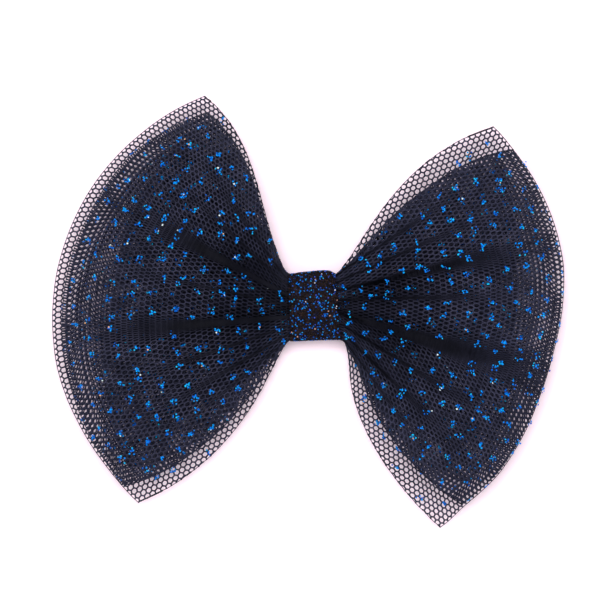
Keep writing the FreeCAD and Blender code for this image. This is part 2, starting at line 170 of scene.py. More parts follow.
def nickel_plate(name, tone, grain):
    """Bright nickel, with fine lengthwise rolling marks and a little staining."""
    plate = bpy.data.materials.new(name)
    plate.use_nodes = True
    nodes, links = plate.node_tree.nodes, plate.node_tree.links
    skin = nodes["Principled BSDF"]
    skin.inputs["Metallic"].default_value = 1
    place = nodes.new("ShaderNodeTexCoord")
    stretch = nodes.new("ShaderNodeMapping")
    stretch.inputs["Scale"].default_value = grain
    links.new(place.outputs["Object"], stretch.inputs["Vector"])
    marks = nodes.new("ShaderNodeTexNoise")
    marks.inputs["Scale"].default_value = 1
    marks.inputs["Detail"].default_value = 6
    links.new(stretch.outputs["Vector"], marks.inputs["Vector"])
    stain = nodes.new("ShaderNodeTexNoise")
    stain.inputs["Scale"].default_value = 170
    stain.inputs["Detail"].default_value = 4
    links.new(place.outputs["Object"], stain.inputs["Vector"])
    tint = nodes.new("ShaderNodeValToRGB")
    tint.color_ramp.elements[0].color = (*(0.78 * c for c in tone), 1)
    tint.color_ramp.elements[0].position = 0.35
    tint.color_ramp.elements[1].color = (*tone, 1)
    tint.color_ramp.elements[1].position = 0.62
    links.new(stain.outputs["Fac"], tint.inputs["Fac"])
    links.new(tint.outputs["Color"], skin.inputs["Base Color"])
    dull = nodes.new("ShaderNodeMapRange")
    dull.inputs["From Min"].default_value = 0.3
    dull.inputs["From Max"].default_value = 0.7
    dull.inputs["To Min"].default_value = 0.20
    dull.inputs["To Max"].default_value = 0.42
    links.new(marks.outputs["Fac"], dull.inputs["Value"])
    links.new(dull.outputs["Result"], skin.inputs["Roughness"])
    groove = nodes.new("ShaderNodeBump")
    groove.inputs["Strength"].default_value = 0.25
    groove.inputs["Distance"].default_value = 0.00003
    links.new(marks.outputs["Fac"], groove.inputs["Height"])
    links.new(groove.outputs["Normal"], skin.inputs["Normal"])
    return plate


plated = nickel_plate("nickel_plate", (0.66, 0.64, 0.60), (120, 2600, 2600))
for node in ("clip_top_arm", "clip_toothed_arm"):
    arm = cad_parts[node]
    arm.data.materials.clear()
    arm.data.materials.append(plated)
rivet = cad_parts["hinge_pin"]
rivet.data.materials.clear()
rivet.data.materials.append(nickel_plate("turned_nickel", (0.60, 0.58, 0.55), (1800, 1800, 200)))

# ---- Clip spring ----------------------------------------------------------------------------
# Hard-drawn steel wire: a coil round the pin, one leg under each tail of the clip. The coil and
# the top arm's leg stay with the bow, and the other leg swings with the jaw.
MM = 0.001
WIRE, COIL_R, COIL_TURNS, COIL_PITCH = 0.5, 1.1, 3.5, 0.62
COIL_STEPS, COIL_SWELL = 42, 1.035       # the smooth line runs a little inside its points
LEG_REACH = 8.6
TAIL_BEND, TAIL_RUN = 3.5, 8.5           # a tail is flat as far as this, then rises over that
TOP_TAIL_Y, TOP_TAIL_RISE = -0.6, -1.4
JAW_TAIL_Y, JAW_TAIL_RISE = 3.4, 5.0
LEG_OFF_TAIL = 0.65                      # from a tail's middle to the middle of the wire
pivot_x, pivot_y = 10.0, 1.4
coil_half = COIL_PITCH * COIL_TURNS / 2


def wire_piece(name, route, body, finish):
    """Round wire along a smooth line through its points, its two ends closed."""
    line = bpy.data.curves.new(name, "CURVE")
    line.dimensions = "3D"
    line.bevel_depth = WIRE / 2 * MM
    line.bevel_resolution = 3
    line.use_fill_caps = True
    line.resolution_u = 4
    spline = line.splines.new("NURBS")
    spline.points.add(len(route) - 1)
    for point, (x, y, z) in zip(spline.points, route):
        point.co = (x * MM, y * MM, z * MM, 1)
    spline.order_u = 3
    spline.use_endpoint_u = True
    drawn = bpy.data.objects.new(name, line)
    bpy.context.collection.objects.link(drawn)
    bpy.ops.object.select_all(action="DESELECT")
    drawn.select_set(True)
    bpy.context.view_layer.objects.active = drawn
    bpy.ops.object.convert(target="MESH")
    bpy.ops.object.shade_smooth_by_angle(angle=math.radians(50))
    drawn.data.materials.append(finish)
    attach(drawn, body)
    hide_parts("torsion_spring")
    bpy.ops.object.select_all(action="DESELECT")


def leg(plate_y, rise, side):
    """A straight leg that leaves the coil at a tangent and comes to lie along a tail."""
    points = []
    for share in (0.12, 0.4, 0.7, 1.0):
        x = pivot_x + LEG_REACH * share
        lie = plate_y + rise / TAIL_RUN * max(x - pivot_x - TAIL_BEND, 0) * share
        y = pivot_y + side * COIL_R + (lie - pivot_y - side * COIL_R) * share
        points.append((x, y, side * coil_half))
    return points


drawn_steel = nickel_plate("drawn_spring_steel", (0.52, 0.51, 0.50), (700, 700, 700))
turns = []
for i in range(COIL_STEPS + 1):
    turn = -math.pi / 2 - 2 * math.pi * COIL_TURNS * i / COIL_STEPS
    turns.append((pivot_x + COIL_R * math.cos(turn) * COIL_SWELL,
                  pivot_y + COIL_R * math.sin(turn) * COIL_SWELL, coil_half * (2 * i / COIL_STEPS - 1)))
top_leg = leg(TOP_TAIL_Y + LEG_OFF_TAIL, TOP_TAIL_RISE, -1)
jaw_leg = leg(JAW_TAIL_Y - LEG_OFF_TAIL, JAW_TAIL_RISE, 1)
wire_piece("spring_coil", top_leg[::-1] + turns, "bow", drawn_steel)
wire_piece("spring_jaw_leg", turns[-4:] + jaw_leg, "jaw", drawn_steel)

# ---- Arm lining -----------------------------------------------------------------------------
# Grosgrain ribbon, woven in ribs from edge to edge, glued along the top arm's outer face and
# folded round its tip. It keeps the steel off the hair and gives the glue something to hold.
lining_low, lining_high = (list(c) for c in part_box("arm_ribbon_lining"))
RIBBON, RIB = 0.0003, 0.00055            # the ribbon's thickness, and from rib to rib
RIB_MEAN, RIB_WAVE = 0.36, 0.14          # half the woven thickness, as shares of the ribbon's
SELVEDGE_FROM, SELVEDGE = 0.95, 0.55     # where the thinner edge starts, and how thin it is
outer_y, inner_y, tip_x = lining_low[1], lining_high[1], lining_low[0]
run = lining_high[0] - tip_x - (inner_y - outer_y) / 2
bend_r = (inner_y - outer_y) / 2 - RIBBON / 2
steps = np.arange(0, 2 * run + math.pi * bend_r, RIB / 4)
rows = []
for d in steps:
    on_bend = (d - run) / bend_r
    if on_bend < 0:
        spot, out = (lining_high[0] - d, outer_y + RIBBON / 2), (0, -1)
    elif on_bend < math.pi:
        out = (-math.sin(on_bend), -math.cos(on_bend))
        spot = (lining_high[0] - run + bend_r * out[0], (outer_y + inner_y) / 2 + bend_r * out[1])
    else:
        spot, out = (lining_high[0] - run + (d - run - math.pi * bend_r), inner_y - RIBBON / 2), (0, 1)
    rib = RIBBON * (RIB_MEAN + RIB_WAVE * math.sin(2 * math.pi * d / RIB))
    rows.append((spot, out, rib))
half_wide = lining_high[2]
across = np.array([-1, -0.985, -0.9, -0.45, 0, 0.45, 0.9, 0.985, 1]) * half_wide
points, faces = [], []
for out_side in (1, -1):
    for spot, out, rib in rows:
        for z in across:
            lift = rib * (SELVEDGE if abs(z) > SELVEDGE_FROM * half_wide else 1) * out_side
            points.append((spot[0] + out[0] * lift, spot[1] + out[1] * lift, z))
wide, last = len(across), len(rows) - 1
for back in range(2):
    base = back * len(rows) * wide
    for i in range(last):
        for j in range(wide - 1):
            a = base + i * wide + j
            quad = (a, a + 1, a + wide + 1, a + wide)
            faces.append(quad[::-1] if back else quad)
other = len(rows) * wide
for i in range(last):
    for j in (0, wide - 1):
        a = i * wide + j
        quad = (a, a + wide, other + a + wide, other + a)
        faces.append(quad if j == 0 else quad[::-1])
for i in (0, last):
    for j in range(wide - 1):
        a = i * wide + j
        quad = (a, other + a, other + a + 1, a + 1)
        faces.append(quad if i == 0 else quad[::-1])
weave = bpy.data.meshes.new("grosgrain_lining")
weave.from_pydata(points, [], faces)
lining = bpy.data.objects.new("grosgrain_lining", weave)
bpy.context.collection.objects.link(lining)
lining.select_set(True)
bpy.context.view_layer.objects.active = lining
bpy.ops.object.mode_set(mode="EDIT")
bpy.ops.mesh.select_all(action="SELECT")
bpy.ops.mesh.normals_make_consistent(inside=False)
bpy.ops.object.mode_set(mode="OBJECT")
bpy.ops.object.shade_smooth_by_angle(angle=math.radians(60))


def mottled(name, scale, detail, dark, pale, bump, stretch=None):
    """A material whose colour and fine relief follow one noise, with its shader and that noise."""
    made = bpy.data.materials.new(name)
    made.use_nodes = True
    nodes, links = made.node_tree.nodes, made.node_tree.links
    skin = nodes["Principled BSDF"]
    place = nodes.new("ShaderNodeTexCoord").outputs["Object"]
    if stretch:
        mapping = nodes.new("ShaderNodeMapping")
        mapping.inputs["Scale"].default_value = stretch
        links.new(place, mapping.inputs["Vector"])
        place = mapping.outputs["Vector"]
    noise = nodes.new("ShaderNodeTexNoise")
    noise.inputs["Scale"].default_value = scale
    noise.inputs["Detail"].default_value = detail
    links.new(place, noise.inputs["Vector"])
    dye = nodes.new("ShaderNodeValToRGB")
    dye.color_ramp.elements[0].color = (*dark, 1)
    dye.color_ramp.elements[0].position = 0.3
    dye.color_ramp.elements[1].color = (*pale, 1)
    dye.color_ramp.elements[1].position = 0.7
    links.new(noise.outputs["Fac"], dye.inputs["Fac"])
    links.new(dye.outputs["Color"], skin.inputs["Base Color"])
    relief = nodes.new("ShaderNodeBump")
    relief.inputs["Strength"].default_value, relief.inputs["Distance"].default_value = bump
    links.new(noise.outputs["Fac"], relief.inputs["Height"])
    links.new(relief.outputs["Normal"], skin.inputs["Normal"])
    return made, skin, noise


ribbon, skin, _ = mottled("navy_grosgrain", 1, 3, (0.006, 0.007, 0.016), (0.022, 0.026, 0.055),
                          (0.4, 0.00004), stretch=(9000, 9000, 1400))
skin.inputs["Roughness"].default_value = 0.55
skin.inputs["Sheen Weight"].default_value = 0.4
skin.inputs["Sheen Roughness"].default_value = 0.4
lining.data.materials.append(ribbon)
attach(lining, "bow")
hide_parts("arm_ribbon_lining")
lining.select_set(False)

# ---- Tulle ----------------------------------------------------------------------------------
# Three strips of dyed nylon netting with six-sided holes, gathered in the middle and fanned out:
# one single sheet at the back and two strips folded into loops. Lengths in this section are
# millimetres until a mesh is made. The gathers crowd the threads into creases from the band.
HOLE, HOLE_ROW = 1.30, 1.30  # from hole to hole across the strip, and from row to row along it
NET_THREAD = (0.20, 0.12)     # half the width and half the height of a thread
SEALED_EDGE = 0.45           # how thin the melted cut edge is beside a thread
PINCH_HALF, FLARE = 7.3, 1.0  # half the gathered width, and how far it flares in the pinch
SOFTEN = 0.8                 # rounds the turn from the pinch into the fan
RISE = 18.0                  # the way from the pinch over which the plies spread apart
FOLD, FOLD_ARC = 8.0, 18.6   # reach of the fold at a rim, and the cloth that goes round it
CREASE_RUN = 40.0            # a crease has its full width from here out
CREASE_HEIGHT = (0.2, 2.6)   # how deep the creases are in the pinch and beyond CREASE_RISE
CREASE_RISE = 12.0
FLUTTER = 0.35               # slow waves in the cloth, towards the rims
PLY_STEP = 1.2               # from ply to ply in the pinch
FIRST_PLY = -3.3
LOOPS_MIDDLE = FIRST_PLY - 2.5 * PLY_STEP
WING_BACK, WING_MIDDLE = -4.9, -10.9

# Angles are up from the wing's own half of the X axis. A rim's pairs are an angle and a radius. A
# crease has its angle, its half width in degrees and how much of the gathered cloth it takes. A bow
# is how far each cut edge swells out, and a power that moves its fullest place. A layer's angles
# and lengths are taken off its wing's; its depth and gap are in the pinch and spread out; narrow
# sharpens its creases in the pinch, and even is the share of spare cloth that lies between them.
LEFT_WING = dict(side=-1, centre=(6.8, -0.3), fan=(68.2, -52.1), pinch=(7.8, 7.3), press=2,
                 bow=((4.3, 1.8), (5.9, 1.15)),
                 rim=((-52.1, 60.8), (-42, 59.7), (-30, 59.3), (-15, 59.2), (0, 58.4), (18, 57.6),
                      (48, 56.5), (68.2, 56.3)),
                 creases=((57, 2.5, 0.4), (46, 2, 0.5), (30, 4, 1.7), (12, 2, 0.5),
                          (-8, 4, 1.9), (-24, 2, 0.6), (-37, 2.5, 0.5), (-46, 2, 0.3)))
RIGHT_WING = dict(side=1, centre=(6.0, 0.0), fan=(49.9, -65.8), pinch=(5.2, 7.0), press=1.4,
                  bow=((5.5, 1.3), (6.1, 0.87)),
                  rim=((-65.8, 59.8), (-58.6, 57.6), (-48, 56.8), (-36, 55.0), (-24, 53.6),
                       (-12, 53.4), (0, 54.5), (12, 55.9), (24, 56.5), (42, 57.4), (49.9, 58.2)),
                  creases=((40, 2.5, 0.4), (29, 2, 0.5), (16, 3, 1.6), (2, 2, 0.5),
                           (-20, 4.5, 2.0), (-37, 2, 0.6), (-50, 2.5, 0.5), (-60, 2, 0.3)))
BACK_LAYER = dict(less_angle=((0, 0), (0, 0)), short=(((0, 0.0),), ((0, 0.0),)),
                  depth=(FIRST_PLY, WING_BACK), gap=(0, 0), fold=0.0,
                  cut=118.0, grain=0.06, turn=0.0, narrow=1.2, even=0.8, relief=(0.6, 0.6))
OUTER_LAYER = dict(less_angle=((1.3, 5.6), (7.6, 7.3)),
                   short=(((-46, 0.5), (-20, 2.2), (0, 2.8), (28, 3.1), (45, 2.6), (58, 3.6), (66, 4.2)),
                          ((-58, 0.9), (-25, 0.3), (0, 0.6), (20, 1.4), (36, 0.4), (45, 0.2))),
                   depth=(LOOPS_MIDDLE, WING_MIDDLE), gap=(1.5 * PLY_STEP, 4.0), fold=FOLD,
                   cut=114.0, grain=0.05, turn=1.2, narrow=4.5, even=0.2, relief=(0.7, 1.3))
INNER_LAYER = dict(less_angle=((2.6, 7.8), (8.6, 11.3)),
                   short=(((-44, 4.5), (-20, 11.0), (5, 15.5), (30, 12.5), (65, 6.0)),
                          ((-54, 4.0), (-35, 6.5), (-20, 9.5), (10, 13.0), (25, 9.5), (44, 4.5))),
                   depth=(LOOPS_MIDDLE, WING_MIDDLE), gap=(0.5 * PLY_STEP, 1.8), fold=FOLD,
                   cut=122.0, grain=-0.07, turn=-1.6, narrow=2.5, even=0.6, relief=(0.8, 1.2))


def mix(a, b, t):
    return a + (b - a) * t


def ease(t):
    t = np.clip(t, 0, 1)
    return t * t * (3 - 2 * t)


def at_angle(pairs, angle):
    """A size given at several angles, found smoothly in between."""
    at, size = zip(*pairs)
    return sum(np.interp(angle + d, at, size) for d in (-2, 0, 2)) / 3


def fan_lines(wing, layer, v):
    """Angle, start, direction and length of the lines v of a fan, from -1 to 1 and a little past."""
    top, bottom = wing["fan"]
    less_top, less_bottom = layer["less_angle"][wing["side"] > 0]
    angle = mix(bottom + less_bottom, top - less_top, (v + 1) / 2)
    short = at_angle(layer["short"][wing["side"] > 0], angle)
    radius = at_angle(wing["rim"], angle) - short
    turn = np.radians(angle)
    px, pz = mix(wing["pinch"][1], wing["pinch"][0], (v + 1) / 2), PINCH_HALF * v
    dx = wing["centre"][0] + radius * np.cos(turn) - px
    dz = wing["centre"][1] + radius * np.sin(turn) - pz
    length = np.hypot(dx, dz)
    return angle, px, pz, dx / length, dz / length, length


def strip_lengths(wing, layer):
    """The pinch and the flat part of a typical line, and the whole half strip, along the cloth."""
    _, px, _, _, _, length = fan_lines(wing, layer, np.linspace(-1, 1, 21))
    pinch, flat = px.mean(), length.mean() - layer["fold"]
    return pinch, flat, 2 * (pinch + flat) + FOLD_ARC if layer["fold"] else pinch + flat


def gathered(wing, layer, s, run):
    """Which line of the fan each thread at s runs along, run millimetres out from the pinch."""
    v = np.linspace(-1.3, 1.3, 1301)     # a little past both cut edges, which bow outwards
    angle, px, pz, dx, dz, _ = fan_lines(wing, layer, v)
    step = np.hypot(np.diff(px + run * dx), np.diff(pz + run * dz))
    held = abs(v[1:]) < 1
    narrow = mix(layer["narrow"], 1.0, ease(run / CREASE_RUN))
    crowd = sum(share * np.exp(-((angle[1:] - at - layer["turn"]) / wide * narrow) ** 2 / 2)
                for at, wide, share in wing["creases"])
    spare = layer["cut"] / step[held].sum()
    plain = min(1, spare) + layer["even"] * max(spare - 1, 0)
    crowd *= (layer["cut"] - plain * step[held].sum()) / crowd[held].sum()
    along = np.concatenate([[0], np.cumsum(np.where(held, plain, min(1, spare)) * step + crowd)])
    return np.interp(s, along - np.interp(-1, v, along), v)


EDGE_FULLNESS = 0.95 * 4


def cut_edges(wing, layer, t):
    """Where the strip's two cut edges are at t: it is wider between the gathers and its ends."""
    pinch, flat, whole = strip_lengths(wing, layer)
    near = whole - t if layer["fold"] and t > whole / 2 else t
    part = min(max((near - pinch) / ((whole / 2 if layer["fold"] else whole) - pinch), 0), 1)
    wider = [EDGE_FULLNESS * bow * part ** skew * (1 - part ** skew) for bow, skew in wing["bow"]]
    return -wider[1], layer["cut"] + wider[0]


CREASE_HUB, DEEPEST = 3.3, 1.7           # where on X the creases meet, and what counts as full depth


def crease_depth(wing, x, z):
    """How deep in a crease each point lies, from 0 on a ridge to about 1."""
    angle = np.degrees(np.arctan2(z, np.maximum(x - CREASE_HUB, 0.8)))
    return sum(share * np.exp(-((angle - at) / (2 * wide + 2)) ** 2 / 2)
               for at, wide, share in wing["creases"]) / DEEPEST


def strip_points(wing, layer, s, t):
    """Where the cloth's points lie: s across the flat strip and t along it from its middle."""
    pinch, flat, whole = strip_lengths(wing, layer)
    front = layer["fold"] > 0 and t > whole / 2
    near = whole - t if front else t
    bend = max(near - pinch - flat, 0) / FOLD_ARC * 2 if layer["fold"] else 0
    reach = max(min(near - pinch, flat), 0) + layer["fold"] * bend
    v = gathered(wing, layer, s, reach)
    angle, px, pz, dx, dz, length = fan_lines(wing, layer, v)
    if bend:
        run, along = length - layer["fold"] * (1 - bend), px
    else:
        out = np.where(near < pinch, px * near / pinch,
                       px + (length - layer["fold"]) * (near - pinch) / flat)
        run = ((out - px) + np.hypot(out - px, SOFTEN)) / 2
        along = out - run
    share = max(1 - bend ** 2, 0) ** (wing["press"] / 2) * (-1 if front else 1)
    part = run / length
    x = along + run * dx
    z = pz + run * dz + FLARE * v * (along / px) ** 3 * (1 - part)
    spread = ease(run / RISE)
    relief = mix(layer["relief"][1], layer["relief"][0], (share + 1) / 2)
    height = mix(*CREASE_HEIGHT, ease(run / CREASE_RISE)) * mix(1, 0.2, ease(part ** 1.5))
    y = mix(*layer["depth"], spread) + share * mix(*layer["gap"], spread)
    y = y + relief * height * (crease_depth(wing, x, z) - 0.35)
    flutter = FLUTTER * np.sin(x * 0.31 + z * 0.23 + layer["cut"]) * np.sin(z * 0.37 - x * 0.17) * part
    return np.stack([wing["side"] * x, y + flutter, z], axis=-1)


SPARE_KNOTS = 20             # on each side of the cut, for the edges that bow outwards
GRAIN_PIVOT = 50             # where along a strip its slanting rows of holes aren't shifted


def net_knots(halves, layer):
    """The knots of a strip's netting, its halves given as (wing, start, end) along the strip:
    places[i, j] with i along the strip, and which of them the cut cloth holds."""
    across = int(layer["cut"] / (HOLE / 2)) + 2 * SPARE_KNOTS
    rows, inside = [], []
    for wing, start, end in halves:
        count = int(abs(end - start) / HOLE_ROW)
        low, high = sorted((start, end))
        for i in range(-1, count + 1):
            t = start + (end - start) * (i + 0.5) / count
            j = np.arange(across)
            s = (j - SPARE_KNOTS) * HOLE / 2 + layer["grain"] * (t - GRAIN_PIVOT) * wing["side"]
            s_low, s_high = cut_edges(wing, layer, min(max(t, low), high))
            s_held = np.clip(s, s_low, s_high)
            step = math.copysign(HOLE_ROW / 6, end - start)
            near, far = (strip_points(wing, layer, s_held, min(max(t + d, low), high))
                         for d in (-step, step))
            rows.append(np.where(((j + len(rows)) % 2)[:, None] == 1, far, near))
            inside.append((s > s_low) & (s < s_high) & (low < t < high))
    return np.array(rows), np.array(inside)


def mesh_piece(name, points, faces):
    """A shown object from arrays of corners and of faces that all have as many sides."""
    mesh = bpy.data.meshes.new(name)
    count, sides = faces.shape
    mesh.vertices.add(len(points))
    mesh.vertices.foreach_set("co", (points * MM).astype(np.float32).ravel())
    mesh.loops.add(count * sides)
    mesh.loops.foreach_set("vertex_index", faces.astype(np.int32).ravel())
    mesh.polygons.add(count)
    mesh.polygons.foreach_set("loop_start", np.arange(0, count * sides, sides, dtype=np.int32))
    mesh.update(calc_edges=True)
    made = bpy.data.objects.new(name, mesh)
    bpy.context.collection.objects.link(made)
    return made


SHADED = 0.68                # how much painted shade a crease adds to the net's gathered attribute
SHADED_TO, SHADED_FADE = 14, 36          # as far out as this, and fading over that
SHORTEST = 0.02              # threads squashed shorter than this are left out
OVERLAP = 0.4                # how far a thread runs on past its knot, as a share of its half width


def knit_net(name, places, inside):
    """Netting: each side of a hole is a short thread with three faces, open at its ends, and the cut edges
    are melted to a finer thread. Its gathered attribute is painted shade: it says how crowded the threads
    are there and how deep they lie in a crease near the band, and the material darkens them by it."""
    down, over = np.gradient(places, axis=0), np.gradient(places, axis=1)
    loose = np.clip(np.linalg.norm(over, axis=2) / (HOLE / 2), 0, 1)
    normal = np.cross(down, over)
    normal /= np.maximum(np.linalg.norm(normal, axis=2, keepdims=True), 1e-9)
    i, j = np.meshgrid(*map(np.arange, inside.shape), indexing="ij")
    along = (inside[:-1] | inside[1:]) & ((i + j)[:-1] % 2 == 1)
    side = inside[:, :-1] | inside[:, 1:]
    rows = np.flatnonzero(inside.any(axis=1))
    first, last = inside.argmax(axis=1) - 1, inside.shape[1] - inside[:, ::-1].argmax(axis=1)
    edges = []
    for half in np.split(rows, np.flatnonzero(np.diff(rows) > 1) + 1):
        ring = [(r, first[r]) for r in half]
        ring += [(half[-1] + 1, k) for k in range(first[half[-1]], last[half[-1]] + 1)]
        ring += [(r, last[r]) for r in half[::-1]]
        ring += [(half[0] - 1, k) for k in range(last[half[0]], first[half[0]] - 1, -1)]
        edges += [one + two for one, two in zip(ring, ring[1:] + ring[:1])]
    ia, ja, ib, jb = (np.concatenate(p) for p in zip(
        (i[:-1][along], j[:-1][along], i[1:][along], j[1:][along]),
        (i[:, :-1][side], j[:, :-1][side], i[:, 1:][side], j[:, 1:][side]), np.array(edges).T))
    thick = np.where(np.arange(len(ia)) < len(ia) - len(edges), 1, SEALED_EDGE)
    a, b = places[ia, ja], places[ib, jb]
    n, unshaded = (normal[ia, ja] + normal[ib, jb]) / 2, (loose[ia, ja] + loose[ib, jb]) / 2
    unshaded[thick < 1] = 1
    x, z = abs((a + b)[:, 0]) / 2, (a + b)[:, 2] / 2
    valley = np.where((a + b)[:, 0] < 0, crease_depth(LEFT_WING, x, z), crease_depth(RIGHT_WING, x, z))
    # Painted shade: threads in a crease's valley near the band are marked darker, fading out from SHADED_TO
    # over SHADED_FADE, on top of the painted shade of crowded threads.
    unshaded *= 1 - SHADED * np.clip(valley, 0, 1) * (1 - ease((np.hypot(x, z) - SHADED_TO) / SHADED_FADE))
    way = b - a
    long = np.linalg.norm(way, axis=1, keepdims=True)
    keep = long[:, 0] > SHORTEST
    a, b, n, unshaded, way, thick = (p[keep] for p in (a, b, n, unshaded, way / np.maximum(long, 1e-9), thick))
    edge = np.cross(way, n)
    edge /= np.maximum(np.linalg.norm(edge, axis=1, keepdims=True), 1e-9)
    n = np.cross(edge, way)
    a, b = a - way * NET_THREAD[0] * OVERLAP, b + way * NET_THREAD[0] * OVERLAP
    corners = np.empty((len(a), 6, 3))
    for k in range(3):
        turn = math.pi / 2 + 2 * math.pi * k / 3
        push = NET_THREAD[0] / 0.866 * math.cos(turn) * edge + NET_THREAD[1] * math.sin(turn) * n
        push *= thick[:, None]
        corners[:, k], corners[:, 3 + k] = a + push, b + push
    quads = np.array([[0, 1, 4, 3], [1, 2, 5, 4], [2, 0, 3, 5]])
    faces = (np.arange(len(a))[:, None, None] * 6 + quads).reshape(-1, 4)
    made = mesh_piece(name, corners.reshape(-1, 3), faces)
    # The gathered attribute holds painted shade, which the net's material turns into darker threads.
    fold_shade_paint = made.data.attributes.new("gathered", "FLOAT", "POINT")
    fold_shade_paint.data.foreach_set("value", np.repeat(1 - unshaded, 6).astype(np.float32))
    return made


FOIL = 0.03                  # how far a flake's two middles stand off its rim
TILT = 0.3                   # how far a flake leans from its cloth at random


def foil_flakes(name, places, normals, radii, colours, draw):
    """Six-sided foil flakes, each a flat pointed disc lying on its cloth, a little askew."""
    n = normals + draw.normal(0, TILT, normals.shape)
    n /= np.linalg.norm(n, axis=1, keepdims=True)
    u = np.cross(n, draw.normal(0, 1, n.shape))
    u /= np.linalg.norm(u, axis=1, keepdims=True)
    w = np.cross(n, u)
    corners = np.empty((len(places), 8, 3))
    for k in range(6):
        turn = math.pi / 3 * k
        corners[:, k] = places + radii[:, None] * (math.cos(turn) * u + math.sin(turn) * w)
    corners[:, 6] = places + n * FOIL
    corners[:, 7] = places - n * FOIL
    ring = [(k, (k + 1) % 6, 6) for k in range(6)] + [((k + 1) % 6, k, 7) for k in range(6)]
    faces = (np.arange(len(places))[:, None, None] * 8 + np.array(ring)).reshape(-1, 3)
    made = mesh_piece(name, corners.reshape(-1, 3), faces)
    tint = made.data.attributes.new("flake_tint", "FLOAT_COLOR", "POINT")
    paint = np.repeat(np.concatenate([colours, np.ones((len(colours), 1))], axis=1), 8, axis=0)
    tint.data.foreach_set("color", paint.astype(np.float32).ravel())
    return made


AZURE_FOILS = np.array([(0.0, 0.12, 0.66), (0.0, 0.25, 0.95), (0.0, 0.36, 1.0),
                        (0.01, 0.56, 1.0), (0.85, 0.97, 1.0), (1.0, 0.55, 0.32)])
AZURE_SHARES = (0.28, 0.33, 0.28, 0.09, 0.015, 0.005)
DOT_STEP = (5.6, 4.8)                    # from dot to dot across the strip and along it
DOT_OFF = (0.8, 0.7)                     # how far a dot strays from there
DOT_SPREAD = 0.40                        # how far its flakes lie from its middle
DOT_RADII = (0.19, 0.30)                 # of its flakes
FROM_EDGE = 0.9                          # least distance of a dot from a cut edge
PROBE = 0.3                              # half the width of cloth that a dot's tilt is taken from


def glue_dots(name, halves, layer, draw):
    """Flakes in clusters of a few on the netting every 6 mm or so, each standing a little off the cloth
    where a dot of clear glue would hold it; the glue itself is not drawn.
    """
    places, normals = [], []
    for wing, start, end in halves:
        outward = wing["side"] * (1 if layer["fold"] else -1)
        low, high = sorted((start, end))
        for i in range(int((high - low) / DOT_STEP[1])):
            row = low + (i + 0.5) * DOT_STEP[1]
            s_low, s_high = cut_edges(wing, layer, row)
            for j in range(int((s_high - s_low) / DOT_STEP[0])):
                t = min(max(row + draw.normal(0, DOT_OFF[1]), low + 0.5), high - 0.6)
                s = s_low + (j + 0.4 + 0.5 * (i % 2)) * DOT_STEP[0] + draw.normal(0, DOT_OFF[0])
                s = min(max(s, s_low + FROM_EDGE), s_high - FROM_EDGE)
                across = strip_points(wing, layer, np.array([s - PROBE, s + PROBE, s]), t)
                ahead = strip_points(wing, layer, np.array([s]), t + 0.4)[0]
                normal = np.cross(across[1] - across[0], ahead - across[2]) * outward
                size = np.linalg.norm(normal)
                room_for_dot = np.linalg.norm(across[1] - across[0]) / (2 * PROBE)
                if size < 1e-6 or draw.random() > 1.3 * room_for_dot:
                    continue
                normal /= size
                many = draw.integers(5, 12)
                spot = draw.normal(0, DOT_SPREAD, (many, 3))
                spot -= np.outer(spot @ normal, normal)
                places.append(across[2] + spot + normal * (0.16 + draw.normal(0, 0.06, (many, 1))))
                normals.append(np.repeat(normal[None], many, axis=0))
    places, normals = np.concatenate(places), np.concatenate(normals)
    colours = AZURE_FOILS[draw.choice(6, len(places), p=AZURE_SHARES)]
    return foil_flakes(name, places, normals, draw.uniform(*DOT_RADII, len(places)), colours, draw)


net_dye_and_painted_shade = bpy.data.materials.new("dyed_nylon_net_painted_fold_shade")
net_dye_and_painted_shade.use_nodes = True
nodes, links = net_dye_and_painted_shade.node_tree.nodes, net_dye_and_painted_shade.node_tree.links
skin = nodes["Principled BSDF"]
skin.inputs["Roughness"].default_value = 0.55
skin.inputs["Specular IOR Level"].default_value = 0.03
place = nodes.new("ShaderNodeTexCoord")
uneven = nodes.new("ShaderNodeTexNoise")
uneven.inputs["Scale"].default_value = 260
links.new(place.outputs["Object"], uneven.inputs["Vector"])
dye = nodes.new("ShaderNodeValToRGB")
dye.color_ramp.elements[0].color = (0.022, 0.023, 0.043, 1)
dye.color_ramp.elements[0].position = 0.3
dye.color_ramp.elements[1].color = (0.047, 0.048, 0.086, 1)
dye.color_ramp.elements[1].position = 0.75
links.new(uneven.outputs["Fac"], dye.inputs["Fac"])
# Painted shade: where the gathered attribute is high (crowded threads, and creases near the band) the dyed
# colour is darkened down to 0.12 of itself.
fold_shade_paint = nodes.new("ShaderNodeAttribute")
fold_shade_paint.attribute_name = "gathered"
painted_darkening = nodes.new("ShaderNodeMapRange")
painted_darkening.inputs["From Min"].default_value = 0.25
painted_darkening.inputs["From Max"].default_value = 0.9
painted_darkening.inputs["To Min"].default_value = 1
painted_darkening.inputs["To Max"].default_value = 0.12
links.new(fold_shade_paint.outputs["Fac"], painted_darkening.inputs["Value"])
shaded_dye = nodes.new("ShaderNodeVectorMath")
shaded_dye.operation = "SCALE"
links.new(dye.outputs["Color"], shaded_dye.inputs[0])
links.new(painted_darkening.outputs["Result"], shaded_dye.inputs["Scale"])
links.new(shaded_dye.outputs["Vector"], skin.inputs["Base Color"])

foil_finish = bpy.data.materials.new("glitter_foil")
foil_finish.use_nodes = True
nodes, links = foil_finish.node_tree.nodes, foil_finish.node_tree.links
skin = nodes["Principled BSDF"]
tint = nodes.new("ShaderNodeAttribute")
tint.attribute_name = "flake_tint"
links.new(tint.outputs["Color"], skin.inputs["Base Color"])
skin.inputs["Roughness"].default_value = 0.3
skin.inputs["Specular IOR Level"].default_value = 0.15

